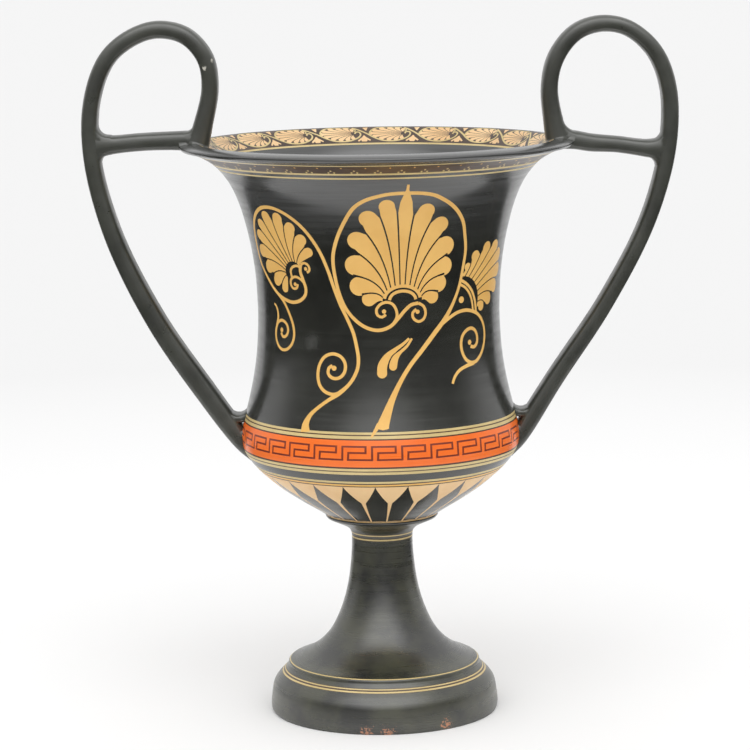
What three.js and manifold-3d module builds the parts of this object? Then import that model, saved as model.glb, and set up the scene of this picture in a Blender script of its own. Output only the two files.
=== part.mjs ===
// A wheel-thrown kantharos: a tall two-handled drinking cup on a stemmed foot.
// Millimetres, +Z up, origin at the centre of the standing ring's flat underside.
// The two high loop handles lie in the X-Z plane; the painted front faces -Y.
import * as THREE from 'three';
import Module from 'manifold-3d';

const wasm = await Module();
wasm.setup();

// Driving dimensions: radii of the turned cup.
const ringInnerRadius = 46.5;
const footBottomRadius = 53.6;
const footRadius = 54.3;
const footTopRadius = 48.9;
const footEdgeRadius = 44.8;
const stemRadius = 14.5;
const collarRadius = 26.8;
const turnRadius = 66;
const waistRadius = 57;
const lipRadius = 92.2;
const mouthRadius = 84;

// Heights of the same places.
const footTopHeight = 18.5;
const footEdgeHeight = 24.3;
const stemTopHeight = 85;
const collarHeight = 94.2;
const bowlFloorHeight = 101.3;
const turnHeight = 132;
const waistHeight = 190;
const lipUnderHeight = 269.4;
const mouthHeight = 272.6;
const hollowHeight = 58.5;

// Fired wall, and the handle straps' depth along Y.
const wallThickness = 4.7;
const strapDepth = 15;
const strutDepth = 14;
const rootSpread = 3;
const landingSpread = 2;

// Fineness of the faceted surfaces.
const aroundSegments = 44;
const strapSectionPoints = 10;
const loopStations = 46;
const strutStations = 9;

// Smooth run of the profile through [radius, height] points.
function run(points, divisions) {
  const curve = new THREE.SplineCurve(points.map(([r, z]) => new THREE.Vector2(r, z)));
  return curve.getPoints(divisions);
}

function joinRuns(...runs) {
  const joined = [];
  const leastStep = 0.02;
  for (const point of runs.flat()) {
    const last = joined[joined.length - 1];
    if (!last || last.distanceTo(point) > leastStep) joined.push(point);
  }
  return joined;
}

// Turned solid from a profile that starts and ends on the axis.
function turned(profile) {
  const geometry = new THREE.LatheGeometry(profile, aroundSegments);
  geometry.rotateX(Math.PI / 2);
  return toManifold(geometry);
}

function solidFrom(vertices, triangles) {
  const mesh = new wasm.Mesh({
    numProp: 3,
    vertProperties: new Float32Array(vertices),
    triVerts: new Uint32Array(triangles),
  });
  return new wasm.Manifold(mesh);
}

// Closed indexed triangles, with the shared vertices merged and the faces pointing out.
function toManifold(geometry) {
  const position = geometry.getAttribute('position');
  const numberOf = new Map();
  const vertices = [];
  const merged = [];
  const grid = 1e4;
  for (let i = 0; i < position.count; i++) {
    const place = [position.getX(i), position.getY(i), position.getZ(i)];
    const key = place.map((v) => Math.round(v * grid)).join(',');
    if (!numberOf.has(key)) {
      numberOf.set(key, numberOf.size);
      vertices.push(...place);
    }
    merged.push(numberOf.get(key));
  }
  const triangles = [];
  for (let t = 0; t < geometry.index.count; t += 3) {
    const [a, b, c] = [0, 1, 2].map((k) => merged[geometry.index.getX(t + k)]);
    if (a !== b && b !== c && c !== a) triangles.push(a, b, c);
  }
  const solid = solidFrom(vertices, triangles);
  return solid.volume() > 0 ? solid : solidFrom(vertices, triangles.reverse());
}

// Outside of the cup, from the centre of the underside up to the mouth.
const outside = joinRuns(
  [new THREE.Vector2(0, 0), new THREE.Vector2(footBottomRadius, 0)],
  // rounded torus of the foot
  run([[footBottomRadius, 0], [footRadius - 0.15, 1], [footRadius, 4.5], [53.2, 12.2], [51.4, 15.8],
    [footTopRadius, footTopHeight]], 7),
  // narrow sunk band and the raised edge above it
  run([[footTopRadius, footTopHeight], [47, 20.4], [45.8, 22.4]], 2),
  run([[45.8, 22.4], [45.6, 23.6], [footEdgeRadius, footEdgeHeight]], 2),
  // long concave sweep up to the stem
  run([[footEdgeRadius, footEdgeHeight], [39.5, 26.4], [34, 29.5], [29.4, 33.2], [24.9, 38.6], [21.3, 45.6],
    [18.5, 53.3], [16.4, 62], [15.05, 72], [stemRadius, 80], [stemRadius, stemTopHeight]], 11),
  // thin collar disc under the bowl
  run([[stemRadius, stemTopHeight], [15.3, 87.3], [17.8, 89.4], [22, 91.4], [26, 93.2]], 4),
  run([[26, 93.2], [collarRadius, collarHeight], [26.6, 95.2]], 2),
  // shallow lower bowl up to the turn
  run([[26.6, 95.2], [31.5, 98.3], [40, 103.6], [49, 109.9], [56.6, 116.4], [61.6, 121.8], [64.9, 127],
    [turnRadius, turnHeight]], 8),
  // tall waisted wall and the flaring underside of the lip
  run([[turnRadius, turnHeight], [65.6, 137], [64.1, 143], [61.6, 152.8], [59.4, 163.4], [57.8, 175],
    [waistRadius, waistHeight], [57.2, 200], [57.75, 210], [59.35, 222], [61.9, 234], [65.2, 245],
    [70, 255], [77, 263], [85, 267.6], [91.3, lipUnderHeight]], 15),
  // rounded lip, whose top falls gently outwards from the crest
  run([[91.3, lipUnderHeight], [lipRadius, 270.5], [91.6, 271.4], [88.5, 272.2],
    [mouthRadius, mouthHeight]], 4),
  [new THREE.Vector2(0, mouthHeight)],
);

// Inside of the bowl, thrown to an even wall.
const bowlInside = joinRuns(
  run([[0, bowlFloorHeight], [12, 102], [23, 104.4], [34, 108.6], [43.5, 113.6], [51.3, 119], [56.6, 123.8],
    [59.8, 128.2], [turnRadius - wallThickness, turnHeight]], 6),
  run([[turnRadius - wallThickness, turnHeight], [60.8, 137.4], [59.3, 143.4], [56.8, 153], [54.7, 163.6],
    [53.1, 175], [waistRadius - wallThickness, waistHeight], [52.5, 200], [53.2, 210], [54.9, 222],
    [57.6, 234.4], [61, 245.6], [65.4, 254.6], [69.3, 260.7], [73, 264.6], [78, 269], [81.8, 271.7],
    [mouthRadius, mouthHeight]], 13),
);
const clearOfLip = 5;
const bowlSpace = joinRuns(
  bowlInside,
  [
    new THREE.Vector2(mouthRadius + clearOfLip, mouthHeight + clearOfLip / 2),
    new THREE.Vector2(0, mouthHeight + clearOfLip / 2),
  ],
);
// Only the part of that space below the loops' landings, to trim the handle roots.
const trimHeight = 260.7;
const bowlSpaceBelowLip = joinRuns(
  bowlInside.filter((point) => point.y < trimHeight),
  [new THREE.Vector2(0, trimHeight)],
);

// Conical hollow under the foot, open at the standing ring.
const footHollow = joinRuns(
  [new THREE.Vector2(0, -1), new THREE.Vector2(ringInnerRadius, -1)],
  run([[ringInnerRadius, 0], [45.4, 4.5], [41.5, 10.5], [34.5, 16.5], [26.5, 22.5], [19.5, 30], [14, 39],
    [10.2, 48], [7, 55], [0, hollowHeight]], 7),
);

// A strap bent in the X-Z plane through stations of [x, z, thickness in the plane].
function strap(stations, count, side, depthAt) {
  const path = new THREE.CatmullRomCurve3(
    stations.map(([x, z]) => new THREE.Vector3(x, 0, z)), false, 'centripetal');
  const thickness = new THREE.CatmullRomCurve3(
    stations.map(([, , t], i) => new THREE.Vector3(t, i, 0)), false, 'catmullrom');
  const squareness = 0.55;
  const vertices = [];
  for (let i = 0; i < count; i++) {
    const u = i / (count - 1);
    const centre = path.getPoint(u);
    const along = path.getTangent(u);
    const halfThickness = thickness.getPoint(u).x / 2;
    const halfDepth = depthAt(u) / 2;
    for (let k = 0; k < strapSectionPoints; k++) {
      // squared oval: nearly flat faces with soft corners
      const angle = ((k + 0.5) / strapSectionPoints) * 2 * Math.PI;
      const across = Math.sign(Math.cos(angle)) * Math.abs(Math.cos(angle)) ** squareness * halfThickness;
      const deep = Math.sign(Math.sin(angle)) * Math.abs(Math.sin(angle)) ** squareness * halfDepth;
      vertices.push(side * (centre.x + along.z * across), deep, centre.z - along.x * across);
    }
  }
  const n = strapSectionPoints;
  const triangles = [];
  for (let i = 0; i < count - 1; i++) {
    for (let k = 0; k < n; k++) {
      const a = i * n + k;
      const b = i * n + ((k + 1) % n);
      triangles.push(a, b, b + n, a, b + n, a + n);
    }
  }
  const last = (count - 1) * n;
  for (let k = 1; k < n - 1; k++) {
    triangles.push(0, k + 1, k, last, last + k, last + k + 1);
  }
  const geometry = new THREE.BufferGeometry();
  geometry.setAttribute('position', new THREE.Float32BufferAttribute(vertices, 3));
  geometry.setIndex(triangles);
  return toManifold(geometry);
}

// The strap spreads where it is pressed on to the turn of the bowl and on to the lip.
function loopDepth(u) {
  const root = Math.max(0, 1 - u / 0.14) ** 2;
  const landing = Math.max(0, (u - 0.93) / 0.07) ** 2;
  return strapDepth + rootSpread * root + landingSpread * landing;
}

// Each handle is pulled by hand, so the left and right ones differ a little.
const leftLoop = [
  [60, 123.5, 5], [65.6, 130.6, 8.6], [80.5, 151.6, 10.1], [105, 188.8, 9.7], [124.2, 229.6, 8.7],
  [133.3, 266, 8.1], [132.9, 292, 7.9], [125.2, 311.8, 8], [114.3, 321.3, 8.2], [101.5, 325.6, 8.2],
  [88.2, 322.4, 8.1], [79.2, 312, 8], [77.2, 298, 8], [81.2, 279.5, 9.2], [84.1, 269.2, 11],
];
const leftStrut = [
  [134, 271.6, 13], [128.6, 271.9, 10.6], [123, 272.2, 8.6], [111, 273.2, 8.2], [98, 273.6, 8.4],
  [89, 274.8, 10], [84.4, 275.8, 12.5],
];
const rightLoop = [
  [60.4, 123.8, 5], [65.8, 131.4, 8.2], [82.9, 158.5, 8.4], [107.1, 194.7, 7.9], [127.2, 233.6, 7.6],
  [136.6, 268, 8.1], [136.9, 295, 7.9], [130.2, 312.2, 7.8], [118, 322.9, 7.6], [105.5, 325.2, 7.7],
  [93.6, 321.2, 7.8], [84.4, 309.7, 7.9], [81.3, 296, 7.9], [83.2, 279, 9.4], [85.2, 269.4, 11],
];
const rightStrut = [
  [137.4, 266.4, 13], [132.4, 266.5, 10.2], [126.6, 266.8, 8.2], [113, 268.8, 7.5], [100, 269.9, 8.2],
  [92.8, 271.2, 10], [87.4, 274, 13],
];

const strutDepthAt = () => strutDepth;
const handles = [
  strap(leftLoop, loopStations, -1, loopDepth),
  strap(leftStrut, strutStations, -1, strutDepthAt),
  strap(rightLoop, loopStations, 1, loopDepth),
  strap(rightStrut, strutStations, 1, strutDepthAt),
];

// The cup is hollowed, the handles are pressed on, and their roots end flush with the wall.
let cup = turned(outside).subtract(turned(bowlSpace));
for (const handle of handles) cup = cup.add(handle);
cup = cup.subtract(turned(bowlSpaceBelowLip)).subtract(turned(footHollow));

const built = cup.getMesh();
const geometry = new THREE.BufferGeometry();
geometry.setAttribute('position', new THREE.Float32BufferAttribute(built.vertProperties, 3));
geometry.setIndex(Array.from(built.triVerts));
geometry.computeVertexNormals();

const blackGlaze = new THREE.MeshStandardMaterial({ name: 'black_glazed_clay', color: 0x2e302e, roughness: 0.45 });
const kantharos = new THREE.Mesh(geometry, blackGlaze);
kantharos.name = 'kantharos';

const part = new THREE.Group();
part.add(kantharos);

export default part;
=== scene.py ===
import math

import bmesh
import bpy
import numpy as np
from mathutils import Matrix, Vector, kdtree
from mathutils.geometry import delaunay_2d_cdt


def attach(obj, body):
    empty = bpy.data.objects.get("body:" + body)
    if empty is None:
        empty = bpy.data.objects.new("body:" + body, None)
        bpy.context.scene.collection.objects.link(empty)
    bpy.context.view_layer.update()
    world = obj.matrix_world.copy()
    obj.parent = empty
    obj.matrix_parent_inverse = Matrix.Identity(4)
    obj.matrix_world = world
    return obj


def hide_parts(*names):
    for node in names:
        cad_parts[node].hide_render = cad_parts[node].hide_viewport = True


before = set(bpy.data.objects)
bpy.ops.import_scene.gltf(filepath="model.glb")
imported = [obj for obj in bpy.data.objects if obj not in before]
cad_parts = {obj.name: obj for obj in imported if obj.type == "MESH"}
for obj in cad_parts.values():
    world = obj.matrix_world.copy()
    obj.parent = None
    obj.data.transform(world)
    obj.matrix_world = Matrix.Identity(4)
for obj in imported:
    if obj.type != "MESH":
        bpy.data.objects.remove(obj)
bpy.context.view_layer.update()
print("frame loaded:", ", ".join(sorted(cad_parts)))

mm = 0.001

# Every place on the cup is in millimetres. A painted place is [degrees round the cup, height]:
# 0 degrees is the middle of the front, and on the wall a degree is about a millimetre.

paints = ["gloss", "ochre", "peach", "cream", "orange", "redLine", "darkLine", "brownWash", "handleGloss"]


# curves

def curveThrough(points, step, evenness=0.5):
    # smooth curve through the points, about one sample for each step; evenness 0 is a plain spline
    pts = [Vector(p) for p in points]
    pts = [2 * pts[0] - pts[1]] + pts + [2 * pts[-1] - pts[-2]]
    run = []
    for before, a, b, after in zip(pts, pts[1:], pts[2:], pts[3:]):
        d0, d1, d2 = (max((q - p).length ** evenness, 1e-6) for p, q in ((before, a), (a, b), (b, after)))
        v0 = ((a - before) / d0 - (b - before) / (d0 + d1) + (b - a) / d1) * d1
        v1 = ((b - a) / d1 - (after - a) / (d1 + d2) + (after - b) / d2) * d1
        count = max(1, round((b - a).length / step))
        for k in range(count):
            t = k / count
            cubic, quadratic = 2 * a - 2 * b + v0 + v1, 3 * b - 3 * a - 2 * v0 - v1
            run.append(cubic * t ** 3 + quadratic * t ** 2 + v0 * t + a)
    run.append(pts[-2])
    return run


def headingAt(run, k):
    # direction of the run in the flat at its sample k
    return (run[min(k + 1, len(run) - 1)] - run[max(k - 1, 0)]).to_2d().normalized()


def ellipse(centre, across, high, fromDegrees, toDegrees, count):
    # degrees run clockwise from the top
    turns = [math.radians(fromDegrees + (toDegrees - fromDegrees) * k / count) for k in range(count + 1)]
    return [Vector((centre[0] + across * math.sin(t), centre[1] + high * math.cos(t))) for t in turns]


# turned profile

cupProfile = {
    "columns": 160,
    "foot": [  # the step between samples, then the points [radius, height]
        (1.2, [(46.5, 0), (53.6, 0)]),
        (0.9, [(53.6, 0), (54.15, 1), (54.3, 4.5), (53.2, 12.2), (51.4, 15.8), (48.9, 18.5)]),
        (0.6, [(48.9, 18.5), (47, 20.4), (45.8, 22.4)]),
        (0.4, [(45.8, 22.4), (45.6, 23.6), (44.8, 24.3)]),
        (1.6, [(44.8, 24.3), (39.5, 26.4), (34, 29.5), (29.4, 33.2), (24.9, 38.6), (21.3, 45.6), (18.5, 53.3),
               (16.4, 62), (15.05, 72), (14.5, 80), (14.5, 85)]),
        (0.9, [(14.5, 85), (15.3, 87.3), (17.8, 89.4), (22, 91.4), (26, 93.2)]),
        (0.3, [(26, 93.2), (26.8, 94.2), (26.6, 95.2)]),
    ],
    "wall": [
        (1.5, [(26.6, 95.2), (31.5, 98.3), (40, 103.6), (49, 109.9), (56.6, 116.4), (61.6, 121.8),
               (64.9, 127), (66, 132)]),
        (2.2, [(66, 132), (65.6, 137), (64.1, 143), (61.6, 152.8), (59.4, 163.4), (57.8, 175), (57, 190),
               (57.2, 200), (57.75, 210), (59.35, 222), (61.9, 234), (65.2, 245), (70, 255), (77, 263),
               (85, 267.6), (91.3, 269.4)]),
    ],
    "lipTop": [(0.35, [(91.3, 269.4), (92.18, 270.5), (91.6, 271.4), (88.5, 272.2), (84, 272.6)])],
    "lipInside": [(1.1, [(84, 272.6), (81.8, 271.7), (78, 269), (73, 264.6)])],
    "bowl": [
        (3.2, [(73, 264.6), (69.3, 260.7), (65.4, 254.6), (61, 245.6), (57.6, 234.4), (54.9, 222),
               (53.2, 210), (52.5, 200), (52.3, 190), (53.1, 175), (54.7, 163.6), (56.8, 153),
               (59.3, 143.4), (60.8, 137.4), (61.3, 132)]),
        (4.5, [(61.3, 132), (59.8, 128.2), (56.6, 123.8), (51.3, 119), (43.5, 113.6), (34, 108.6),
               (23, 104.4), (12, 102), (0, 101.3)]),
    ],
    "footHollow": [(5, [(0, 58.5), (7, 55), (10.2, 48), (14, 39), (19.5, 30), (26.5, 22.5), (34.5, 16.5),
                          (41.5, 10.5), (45.4, 4.5), (46.5, 0)])],
    "footLines": [(18.35, 18.55, "brownWash"), (18.55, 19.15, "cream"), (19.15, 19.7, "brownWash"),
                  (19.7, 20.15, "cream"), (20.15, 20.4, "brownWash"), (23.95, 24.3, "cream"),
                  (83.3, 83.6, "brownWash"), (83.6, 84.3, "cream"), (84.3, 84.6, "brownWash"),
                  (85.5, 85.8, "brownWash"), (85.8, 86.3, "cream"), (86.3, 86.6, "brownWash"),
                  (95, 95.2, "ochre")],
}


def straightRun(points, step):
    a, b = Vector(points[0]), Vector(points[1])
    count = max(1, round((b - a).length / step))
    return [a.lerp(b, k / count) for k in range(count + 1)]


def profileRun(name, fine=1.0):
    # samples along one part of the outline; a smaller fine puts them closer together
    run = []
    for step, points in cupProfile[name]:
        isBent = len(points) > 2
        part = curveThrough(points, step * fine, evenness=0) if isBent else straightRun(points, step)
        run += part[1:] if run else part
    return run


def withHeights(run, heights):
    # the run with a sample of its own at each of these heights
    run = [p.copy() for p in run]
    for height in heights:
        for k in range(len(run) - 1):
            a, b = run[k], run[k + 1]
            if a.y < height <= b.y:
                cut = a.lerp(b, (height - a.y) / (b.y - a.y))
                if (cut - b).length < 1e-4:
                    run[k + 1] = cut
                else:
                    run.insert(k + 1, cut)
                break
    return run


# painted motifs: each is a list of (polygon, paint) in the flat, laid on in order

def anticlockwise(polygon):
    area = sum(a[0] * b[1] - b[0] * a[1] for a, b in zip(polygon, polygon[1:] + polygon[:1]))
    return polygon if area > 0 else polygon[::-1]


def stroke(points, width, paint="ochre", step=1.0):
    # brush line; a point may carry its own width as a third value
    full = [(p[0], p[1], p[2] if len(p) > 2 else width) for p in points]
    run = curveThrough(full, step)
    sides = []
    for k, p in enumerate(run):
        along = headingAt(run, k)
        across = Vector((-along.y, along.x)) * p.z / 2
        sides.append((p.to_2d() + across, p.to_2d() - across))
    return [(anticlockwise([a, b, d, c]), paint) for (a, b), (c, d) in zip(sides, sides[1:])]


def dot(centre, radius, paint="ochre", corners=14):
    return [(anticlockwise(ellipse(centre, radius, radius, 0, 360, corners)[:-1]), paint)]


def hoop(low, high, paint):
    # band right round the cup
    return [([Vector(p) for p in ((-180, low), (180, low), (180, high), (-180, high))], paint)]


def placed(motif, origin, turn=0, scale=(1, 1)):
    # turn is anticlockwise, in degrees
    c, s = math.cos(math.radians(turn)), math.sin(math.radians(turn))
    moved = []
    for polygon, paint in motif:
        flat = [(p[0] * scale[0], p[1] * scale[1]) for p in polygon]
        there = [Vector((origin[0] + x * c - y * s, origin[1] + x * s + y * c)) for x, y in flat]
        moved.append((anticlockwise(there), paint))
    return moved


petals = {
    # how a petal's edge bows outward, as shares of its reach and of the fan's height
    "bend": (0.3, 0.55), "lift": 0.045,
    # the dark line's width from foot to head and at its open end, and how far it runs on past the notch
    "line": (0.75, 1), "wedge": (1.15, 1.3), "overrun": 0.45,
    # pointed middle petal, as shares of its radius and height
    "spike": [(-1, 0), (-0.85, 0.3), (-0.42, 0.62), (-0.2, 0.8), (-0.16, 1), (0.16, 1), (0.2, 0.8),
        (0.42, 0.62), (0.85, 0.3), (1, 0)],
}


def petalEdges(heads, arch, spread, lean):
    # edges between the petals, each from a foot on the arch to the notch between two heads
    tall = max(y for _, y, _ in heads)
    turns = [math.radians((k - len(heads) / 2) * spread + lean) for k in range(len(heads) + 1)]
    feet = [Vector((arch[0] * math.sin(t), arch[1] * math.cos(t))) for t in turns]
    centres = [Vector(h[:2]) for h in heads]
    sizes = [h[2] for h in heads]
    notches = [a.lerp(b, r / (r + q)) for a, b, r, q in zip(centres, centres[1:], sizes, sizes[1:])]
    first = centres[0] + (centres[0] - centres[1]).normalized() * sizes[0]
    last = centres[-1] + (centres[-1] - centres[-2]).normalized() * sizes[-1]
    wide, high = petals["bend"]
    edges = []
    for foot, notch in zip(feet, [first, *notches, last]):
        reach = notch - foot
        bend = foot + Vector((wide * reach.x, high * reach.y + petals["lift"] * tall))
        shares = [k / 8 for k in range(9)]
        edges.append([foot * (1 - t) ** 2 + bend * 2 * t * (1 - t) + notch * t * t for t in shares])
    return edges


def palmette(heads, arch, spread, line=0.75, spike=0, lean=0, fill="ochre", ground="gloss"):
    # petals from left to right, each head [x, y, radius]; their feet stand on an arch round the origin
    edges = petalEdges(heads, arch, spread, lean)
    motif = []
    for k, (x, y, radius) in enumerate(heads):
        if spike and k == len(heads) // 2:
            cap = [Vector((x + radius * wide, y + spike * high)) for wide, high in petals["spike"]]
        else:
            before, after = edges[k][-1], edges[k + 1][-1]
            first = math.atan2(before.y - y, before.x - x)
            last = math.atan2(after.y - y, after.x - x)
            while last > first:
                last -= 2 * math.pi
            turns = [first + (last - first) * (t + 0.5) / 12 for t in range(12)]
            cap = [Vector((x + radius * math.cos(t), y + radius * math.sin(t))) for t in turns]
        motif.append((anticlockwise(edges[k][:-1] + cap + edges[k + 1][-2::-1]), fill))
    thin, full = petals["line"]
    for edge, (_, _, radius) in zip(edges[1:-1], heads):
        ahead = (edge[-1] - edge[-2]).normalized()
        run = edge + [edge[-1] + ahead * radius * petals["overrun"]]
        widths = [line * (thin + (full - thin) * k / (len(run) - 1)) for k in range(len(run))]
        widths[-2:] = [line * wedge for wedge in petals["wedge"]]
        motif += stroke([(p.x, p.y, w) for p, w in zip(run, widths)], line, ground, step=4)
    return motif


# front and back of the wall

mainPalmette = {
    "heart": (10.85, 204),
    "heads": [(-15.3, 0.7, 3.2), (-19.6, 6.7, 4.4), (-21, 16.4, 4.7), (-19.8, 27.9, 4.1),
        (-14.7, 38, 3.8), (-7.2, 43.6, 3.2), (0.4, 42, 2.8), (9, 40.9, 3.5), (15.9, 34.2, 3.7),
        (19.3, 23.9, 4.6), (19.3, 14.6, 4.5), (17.1, 6.9, 4.2), (14.1, 0.9, 3.2)],
    "feet": (9.2, 7.3),
    "spread": 14.3,
    "spike": 11.8,
}


def mainPalmetteMotif():
    m = mainPalmette
    fan = palmette(m["heads"], m["feet"], m["spread"], spike=m["spike"])
    rim = stroke(ellipse((0, 0), 8.4, 6.5, -82, 82, 12), 1.5)
    arch = stroke(ellipse((0.1, 0), 6.1, 4.2, -88, 88, 10), 1.4)
    return placed(fan + rim + arch, m["heart"])


def mainTendril():
    # from the wall's foot up round the palmette, down its left side and into the two scrolls of its heart
    loop = [(1, 147.6, 5), (2.5, 152, 4), (5.2, 159, 2.7), (9.2, 166.9, 2), (13.8, 173.8, 1.9),
        (19.2, 180, 2), (26.5, 188.2, 2.2), (30.9, 192.9, 2.2), (34.6, 197.9, 1.9), (37.75, 203.5),
        (39.8, 208.5), (41.5, 217.9), (41.8, 225.4), (40, 233), (38.2, 238.25), (35, 243), (30.7, 247.1),
        (26.4, 250), (22.1, 252.25), (17.1, 253.4), (10.9, 253.75), (5, 253.5), (0.7, 252.6),
        (-4.6, 250.7), (-9.3, 247.25), (-13.7, 240.5), (-18, 231.5), (-20.1, 223.7), (-19.8, 215.2),
        (-17.9, 206.5), (-15, 200), (-10, 194.3), (-5, 191.3), (0, 190.4), (5, 192), (8.5, 195.3),
        (12, 199.3), (15, 201.7), (18.3, 202.3)]
    rightScroll = [(18.3, 202.3), (20.9, 200.6), (21.8, 197.3), (20.7, 194.7), (18.3, 193.8),
        (15.9, 195.4), (15.6, 198), (17.3, 199.5)]
    leftScroll = [(6.5, 193.2), (8.2, 196.5), (7.6, 200.3), (5.8, 202.6), (3, 203.2), (0.3, 202),
        (-1.2, 199.6), (-0.6, 197.3), (1.4, 196.4), (3.1, 197.6)]
    base = [(3.7, 148.6), (3.3, 146), (0.9, 145.4), (-0.9, 145.9), (-3.6, 142.1), (-4.3, 142.4),
        (-2.4, 146.6), (-1.5, 148.6)]
    scrolls = stroke(rightScroll, 1.3) + stroke(leftScroll, 1.3) + dot((17.9, 198.3), 1) + dot((2.3, 199), 1)
    return stroke(loop, 1.6) + scrolls + [(anticlockwise([Vector(p) for p in base]), "ochre")]


def leftTendril():
    # S-shaped tendril with a scroll, which also arches over the left palmette
    stem = [(-32.7, 143.6, 4.4), (-33, 147, 3.2), (-31.4, 151, 2), (-28.3, 154.3), (-23.1, 158.4),
        (-18.5, 161.5, 2), (-14.2, 165.4), (-11.5, 169.4), (-9.9, 173.8), (-9.7, 178), (-10.5, 183),
        (-11.9, 189), (-14.6, 195.4), (-17.9, 202.4), (-20.6, 209.8), (-22.9, 217.5), (-26, 226),
        (-29.8, 232.9), (-33.7, 237.9), (-38.3, 241.8), (-42.9, 244.4), (-48.3, 245.8), (-54.5, 245.2),
        (-59.8, 242.6), (-64.3, 238.6), (-67.6, 232.6), (-68.8, 225.6), (-67.6, 219), (-64.8, 214.8),
        (-61.4, 211.2), (-57.5, 207.6), (-52.9, 204.5), (-47.5, 202.5), (-42.9, 201.9), (-38.3, 203.3),
        (-35.6, 206), (-35.2, 209), (-36.4, 212.9), (-37.5, 216.8), (-36.9, 219.8)]
    bigScroll = [(-17, 162.6), (-20.5, 161.1), (-24.6, 161.9), (-27.6, 164.6), (-29, 169), (-28.4, 174),
        (-25.8, 177.9), (-21.8, 179.4), (-17.9, 178.2), (-15.8, 175), (-16.1, 171.2), (-18.3, 168.7),
        (-21.4, 168.3), (-23.8, 170.2), (-23.6, 172.9), (-21.9, 174)]
    heartRight = [(-36.9, 219.8), (-34.8, 220.7), (-32.7, 219.6), (-32.4, 217.4), (-33.8, 216.3)]
    heartLeft = [(-36.2, 211.6), (-38.2, 213.2), (-41, 213.9), (-43.5, 212.6), (-44, 210.2),
        (-42.6, 208.4), (-40.4, 208.8), (-39.7, 210.6)]
    curl = [(-53.6, 204.8), (-49.5, 201.4), (-46, 196), (-43.7, 190.6), (-43.3, 186), (-44.8, 182.2),
        (-47.9, 179.7), (-51.4, 179.3), (-54.5, 181), (-56.5, 184.5), (-56.4, 188.7), (-54.5, 191.8),
        (-51.4, 192.8), (-48.3, 191.3), (-47.3, 188.3), (-48.7, 185.8), (-51, 185.3), (-52.4, 187)]
    tail = [(-56, 190), (-54.7, 193.7, 1.4), (-54.8, 196.8, 1.3), (-56, 199.1, 1.1), (-57.4, 200.1, 0.9)]
    heart = stroke(heartRight, 1.2, step=0.7) + stroke(heartLeft, 1.2, step=0.7)
    dots = [((-21.1, 172.9), 1.2), ((-34.3, 218), 0.9), ((-41.3, 210.4), 0.9), ((-51.9, 188.3), 1.1)]
    motif = stroke(stem, 1.6) + stroke(bigScroll, 1.5) + heart + stroke(curl, 1.4) + stroke(tail, 1.3)
    return motif + [area for centre, radius in dots for area in dot(centre, radius)]


sidePalmettes = {
    "left": {
        "heart": (-42, 216.5), "turn": 39.6, "feet": (4.9, 4.4), "spread": 17, "lean": 0,
        "heads": [(-9.85, -2.5, 2.2), (-11.95, 3.3, 2.7), (-12.65, 11.4, 3), (-11.1, 19.4, 3),
            (-5.8, 24.7, 2.6), (0.3, 26.6, 2.5), (6.9, 26.1, 2.8), (12.5, 21.3, 2.7), (14.6, 14.2, 2.7),
            (15, 6.9, 2.7), (13.8, 0.7, 2.2)],
    },
    "right": {
        "heart": (41.5, 201.5), "turn": -48, "feet": (11.2, 11.6), "spread": 13, "lean": 5,
        "heads": [(-9.6, 12.5, 1.9), (-9.9, 19, 2.7), (-6.9, 27, 3), (-1.4, 32.5, 3.4), (5.6, 33.6, 3.5),
            (11.4, 30, 3.5), (14.9, 23, 3.3), (14.3, 14.6, 3), (12.2, 7.9, 2.3)],
    },
}


def sidePalmette(side):
    m = sidePalmettes[side]
    fan = palmette(m["heads"], m["feet"], m["spread"], line=0.6, lean=m["lean"])
    return placed(fan, m["heart"], m["turn"])


def leftPalmetteMotif():
    arch = [(-42.9, 213.4), (-43.2, 216.6), (-41.6, 218.5), (-38.9, 219.1), (-36.9, 218.2)]
    return sidePalmette("left") + stroke(arch, 1.2, step=0.7)


def rightPalmetteMotif():
    outer = [(40.6, 211.2), (44.6, 209), (48.4, 205.3), (50.7, 200.3), (51.6, 195.4)]
    inner = [(40.4, 209.2), (43.8, 207.4), (47, 203.9), (48.8, 199.4), (49.4, 195.6)]
    return sidePalmette("right") + stroke(outer, 1.4) + stroke(inner, 1.2) + dot((41.4, 202), 1.6)


def rightTendril():
    stem = [(29, 191), (34.9, 194.6), (39.25, 196.4), (44.25, 196.9), (49.25, 195.9), (53, 194.2),
        (56.2, 191.4), (58.2, 187.4), (58.2, 182.6), (56.4, 178.2), (53.6, 174.9), (49.9, 172.6),
        (46.75, 172.4), (43.8, 173.8), (41.6, 177), (40.8, 181.2), (41.9, 185.2), (44.6, 187.5),
        (47.7, 188.2), (50.5, 187), (52, 184.3), (51.7, 181.2), (49.5, 179.4), (46.9, 179.9)]
    tail = [(48.5, 172.2, 1.9), (42.4, 171, 1.6), (38.6, 169.6, 1.5), (35.8, 167.1, 1.4), (34.1, 164.1, 1.3)]
    return stroke(stem, 1.6) + stroke(tail, 1.4) + dot((46.4, 181.8), 1.2)


def leafPair():
    long = [(1, 171.2, 4.4), (1.2, 174, 4.3), (3.3, 178, 3.3), (7.2, 181.4, 1.9), (10.8, 183.8, 1.4),
        (13.7, 186.3, 1.1)]
    short = [(6, 173.9, 3.6), (6.7, 177, 3.4), (9, 180, 2), (12.5, 182.7, 1.3), (15, 186.2, 1)]
    split = [(3.9, 172.5, 0.6), (4.2, 175.5, 0.6), (6, 178.8, 0.5), (9.6, 181.4, 0.4), (12.4, 183.6, 0.3)]
    return (stroke(short, 2) + dot((6, 173.7), 1.8) + stroke(long, 2) + dot((1, 170.8), 2.3)
            + stroke(split, 0.5, "gloss"))


def turnedRound(motif, degrees):
    return [([Vector((p[0] + degrees, p[1])) for p in polygon], paint) for polygon, paint in motif]


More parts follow.
